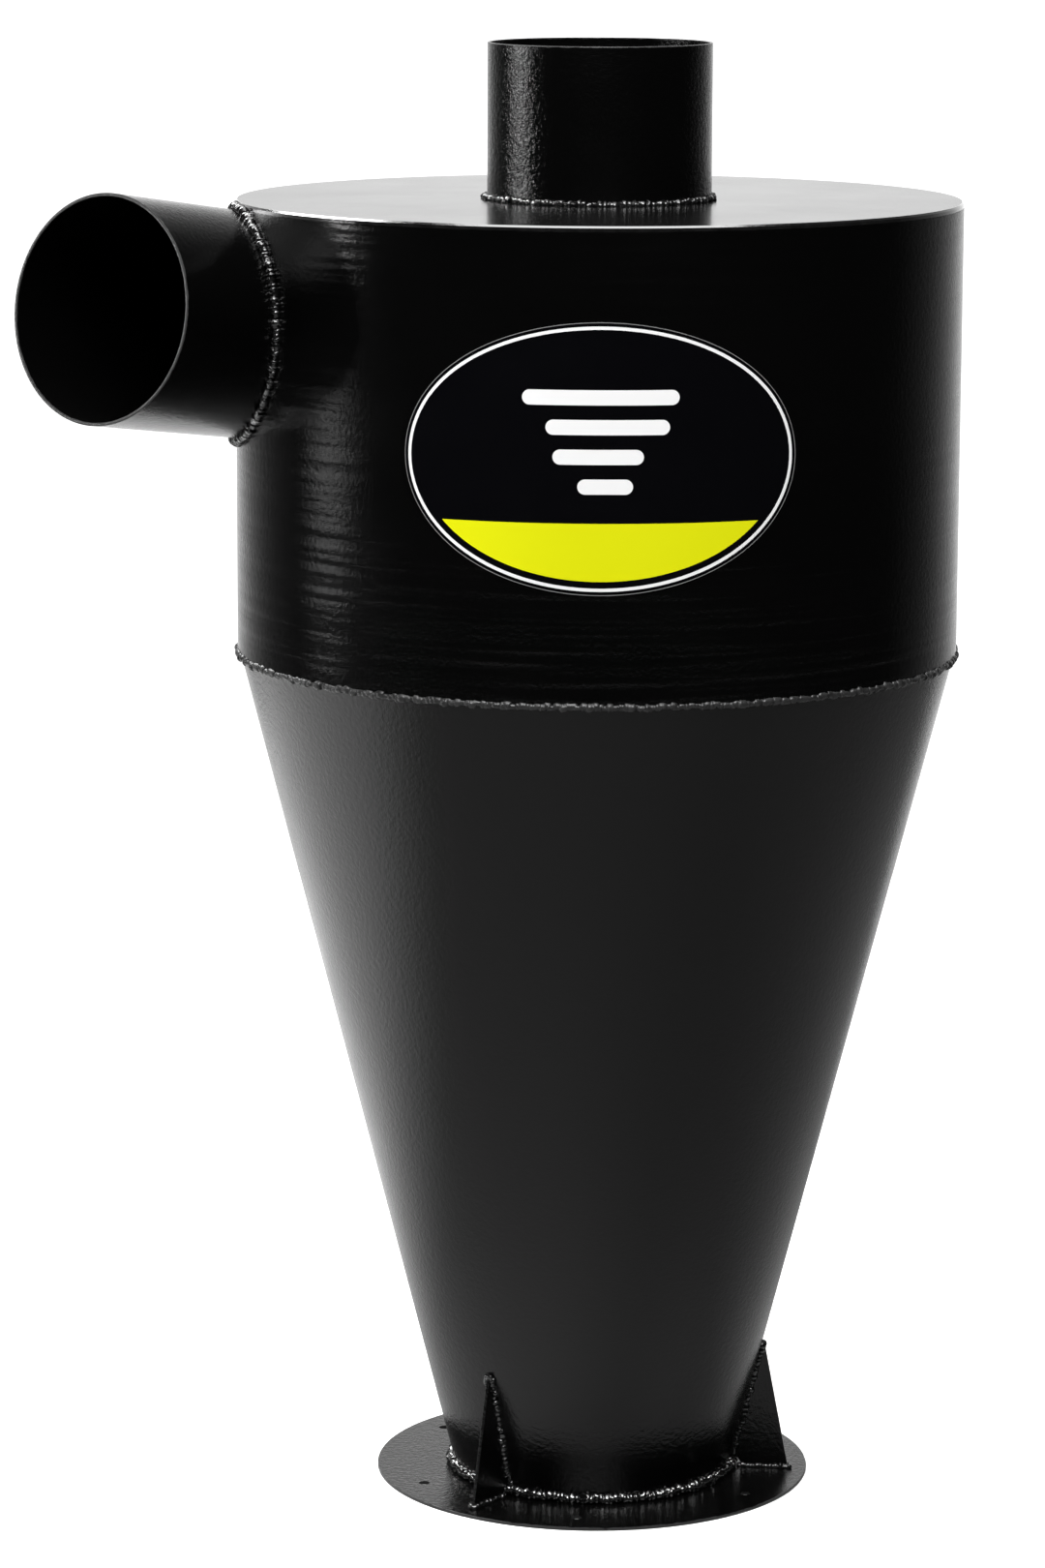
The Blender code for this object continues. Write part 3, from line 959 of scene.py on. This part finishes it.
def label_print(finishes, width, height):
    """Printed vinyl: black, with a white pinstripe, a plain yellow foot and white funnel bars."""
    material, nodes, shader, _ = finishes.start("label print", 1.45)
    flat = nodes.add("UVMap", uv_map="print").outputs[0]
    parts = nodes.add("SeparateXYZ", (0, flat)).outputs
    x = nodes.math("MULTIPLY", nodes.math("SUBTRACT", parts["X"], 0.5), width)
    z = nodes.math("MULTIPLY", nodes.math("SUBTRACT", parts["Y"], 0.5), height)
    ovals, bars = oval_mask_group(), bar_mask_group()

    def oval(margin):
        return finishes.group(
            nodes, ovals, ("X", x), ("Z", z), ("Half width", width / 2 - margin),
            ("Half height", height / 2 - margin),
        )

    inner = LABEL_MARGIN + LABEL_STRIPE
    stripe = nodes.math("SUBTRACT", oval(LABEL_MARGIN), oval(inner))
    foot = nodes.math("MULTIPLY", oval(inner + LABEL_GAP), nodes.math("LESS_THAN", z, BAND_TOP))
    outermost = nodes.math("SUBTRACT", 1, oval(LABEL_EDGE))
    edge = nodes.math("MULTIPLY", outermost, LABEL_EDGE_BRIGHTNESS)
    white = nodes.math("MAXIMUM", stripe, edge)
    for i, (half_length, shift) in enumerate(FUNNEL_BARS):
        bar = finishes.group(
            nodes, bars, ("X", x), ("Z", z), ("Middle x", shift),
            ("Middle z", FUNNEL_TOP - i * FUNNEL_PITCH), ("Half length", half_length),
            ("Half height", FUNNEL_HALF_HEIGHT),
        )
        white = nodes.math("MAXIMUM", white, bar)
    yellow = nodes.add("Mix", ("Factor", foot), data_type="RGBA")
    yellow.inputs["A"].default_value = PRINT_BLACK
    yellow.inputs["B"].default_value = PRINT_YELLOW
    printed = nodes.add("Mix", ("Factor", white), ("A", yellow.outputs["Result"]), data_type="RGBA")
    printed.inputs["B"].default_value = PRINT_WHITE
    nodes.join(shader.inputs["Base Color"], printed.outputs["Result"])
    place = nodes.add("TexCoord").outputs["Object"]
    smudge = finishes.group(nodes, finishes.handled, ("Vector", place), ("Size", LABEL_SMUDGE_SIZE))
    nodes.join(shader.inputs["Roughness"], nodes.range(smudge, 0, 1, *LABEL_ROUGHNESS))
    return material


# Studio ----------------------------------------------------------------------------------------

def add_camera():
    """In front and a little above, looking slightly down on the machine."""
    camera = bpy.data.objects.new("camera", bpy.data.cameras.new("camera"))
    bpy.context.scene.collection.objects.link(camera)
    camera.data.lens = CAMERA_LENS
    camera.data.sensor_width = CAMERA_SENSOR
    camera.location = CAMERA_PLACE
    forward = Vector((
        math.sin(CAMERA_YAW) * math.cos(CAMERA_DIP),
        math.cos(CAMERA_YAW) * math.cos(CAMERA_DIP),
        -math.sin(CAMERA_DIP),
    ))
    level = forward.to_track_quat("-Z", "Y").to_matrix()
    camera.rotation_euler = (level @ Matrix.Rotation(CAMERA_ROLL, 3, "Z")).to_euler()
    bpy.context.scene.camera = camera


def add_soft_light(name, place, target, size, power, mirrored=True):
    """A rectangular soft box that the camera doesn't see. Glossy surfaces mirror it or not."""
    light = bpy.data.objects.new(name, bpy.data.lights.new(name, "AREA"))
    bpy.context.scene.collection.objects.link(light)
    light.data.shape = "RECTANGLE"
    light.data.size, light.data.size_y = size
    light.data.energy = power
    light.location = place
    beam = Vector(target) - Vector(place)
    light.rotation_euler = beam.to_track_quat("-Z", "Y").to_euler()
    light.visible_camera = False
    light.visible_glossy = mirrored


def add_side_light(name, height, length, power, mirrored=True):
    """An upright strip on the inlet's side that shines level across the machine."""
    place = (-SIDE_DISTANCE, SIDE_SHIFT, height)
    target = (0, SIDE_SHIFT, height)
    add_soft_light(name, place, target, (SIDE_WIDTH, length), power, mirrored)


def add_studio_air():
    """A dark room with a white backdrop behind the machine; the camera sees plain white."""
    world = bpy.data.worlds.new("studio")
    bpy.context.scene.world = world
    world.use_nodes = True
    nodes = Nodes(world.node_tree)
    background = world.node_tree.nodes["Background"]
    toward = nodes.add("SeparateXYZ", (0, nodes.add("TexCoord").outputs["Generated"])).outputs
    sideways = nodes.math("ABSOLUTE", toward["X"])
    forwards = nodes.math("MULTIPLY", toward["Y"], -1)
    round_back = nodes.math("ARCTAN2", sideways, forwards)
    share = nodes.math("DIVIDE", round_back, math.pi)
    backdrop = nodes.ramp(share, *BACKDROP_ROUND)
    height = nodes.range(toward["Z"], -1, 1)
    fade = nodes.ramp(height, *BACKDROP_UP)
    glow = nodes.math("MULTIPLY", nodes.math("MULTIPLY", backdrop, fade), BACKDROP_GLOW)
    seen = nodes.add("LightPath").outputs["Is Camera Ray"]
    nodes.join(background.inputs["Color"], nodes.math("MAXIMUM", glow, seen))


def add_floor():
    """A round pale floor; the camera sees it as bright as the backdrop, except under the flange,
    where it has painted shade. Elsewhere its colour carries painted light, lighter near the
    machine's foot and in a pool at the back left, and the machine mirrors that.
    """
    bpy.ops.mesh.primitive_circle_add(vertices=FLOOR_STEPS, radius=FLOOR_RADIUS, fill_type="NGON")
    floor = named("floor")
    material = bpy.data.materials.new("pale floor")
    material.use_nodes = True
    nodes = Nodes(material.node_tree)
    shader = material.node_tree.nodes["Principled BSDF"]
    shader.inputs["Roughness"].default_value = 0.9
    place = nodes.add("TexCoord").outputs["Object"]
    away = nodes.add("VectorMath", (0, place), operation="LENGTH").outputs["Value"]
    # Painted light: the floor's colour is lighter near the machine's foot and in a pool at the back
    # left
    near = nodes.ramp(away, *FLOOR_PAINTED_LIGHT)
    back_left = nodes.add("VectorMath", (0, place), (1, PAINTED_POOL_SIDE), operation="DOT_PRODUCT")
    painted_pool = nodes.range(back_left.outputs["Value"], *PAINTED_POOL_REACH, 0, PAINTED_POOL_BRIGHTNESS)
    painted_light = nodes.math("ADD", near, painted_pool)
    # Painted shade under the flange: there the camera sees the floor dark, without its plain
    # brightness and glow
    outside_painted_shade = nodes.range(away, *FLOOR_PAINTED_SHADE)
    seen = nodes.math("MULTIPLY", nodes.add("LightPath").outputs["Is Camera Ray"], outside_painted_shade)
    plain = nodes.math("MULTIPLY", seen, FLOOR_SEEN)
    nodes.join(shader.inputs["Base Color"], nodes.math("MAXIMUM", painted_light, plain))
    shader.inputs["Emission Color"].default_value = WHITE
    nodes.join(shader.inputs["Emission Strength"], nodes.math("MULTIPLY", seen, FLOOR_GLOW))
    floor.data.materials.append(material)


def add_studio():
    """Plain soft light all round, and a pale floor with painted light and shade on it."""
    bpy.context.scene.view_settings.view_transform = "Standard"
    add_studio_air()
    add_floor()
    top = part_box("lid")[1].z
    add_soft_light(
        "front soft box", place=(0, -1.3, 1.9), target=(0, 0, top / 2), size=(1.2, 0.9), power=50
    )
    add_soft_light(
        "overhead panel", place=(0, -0.2, 2.3), target=(0, -0.2, 0), size=(1.6, 1.4), power=35
    )
    add_side_light("side strip", 0.65, length=0.2, power=3.9)
    add_side_light("side fill", 1.16, length=0.82, power=15, mirrored=False)
    add_side_light("low side strip", 0.335, length=0.13, power=0.33)
    add_soft_light(
        "back soft box", place=(-0.9, 0.9, 1.7), target=(-0.45, 0.35, 0), size=(0.9, 0.9), power=45
    )


# Build -----------------------------------------------------------------------------------------

add_camera()
bpy.ops.object.select_all(action="DESELECT")
finishes = Finishes()
mouth, out, _, _ = inlet_axis()
flange_rim = (None, ring_size("base_flange")[2][1])
outlet_rim = ((0, 0, 1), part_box("outlet_tube")[1].z)
inlet_rim = (tuple(out), mouth.dot(out))
sheet = finishes.black_coat("black coat")
rolled_sheet = finishes.black_coat("black coat on rolled sheet", 0.18, rolled=0.5, peel=0.2)
flat_sheet = finishes.black_coat("black coat on the lid", dusty=0.03, peel=0.03, smear=0.008)
flange_sheet = finishes.black_coat("black coat on the flange", edge=flange_rim)
outlet_sheet = finishes.black_coat(
    "black coat on the outlet tube", 0.17, peel=0.45, edge=outlet_rim
)
inlet_sheet = finishes.black_coat("black coat on the inlet tube", edge=inlet_rim)
weld = finishes.weld_coat("coated weld")
dull_weld = finishes.weld_coat("coated weld, dull", 0.36, 1.45, coat=0.1, grey=0.012)
bright_weld = finishes.weld_coat("coated weld, bright", 0.1, 2.0, coat=1)

make_cone(sheet)
make_barrel(rolled_sheet)
make_inlet_duct(inlet_sheet)
make_outlet_duct(outlet_sheet)
make_lid(flat_sheet, bright_weld)
make_flange(flange_sheet)
make_round_beads(weld, bright_weld, dull_weld)
make_inlet_bead(weld)
for number in (1, 2, 3):
    make_gusset(f"gusset_{number}", sheet)
    make_gusset_beads(f"gusset_{number}", weld, GUSSET_SEED + SEED_STEP * number)
make_seam_bead("barrel_seam_bead", "barrel_seam_weld", weld, BARREL_SEAM_SEED)
make_seam_bead("cone_seam_bead", "cone_seam_weld", weld, CONE_SEAM_SEED)
label_width, label_height, _ = label_size()
make_label(label_print(finishes, label_width, label_height))
add_studio()
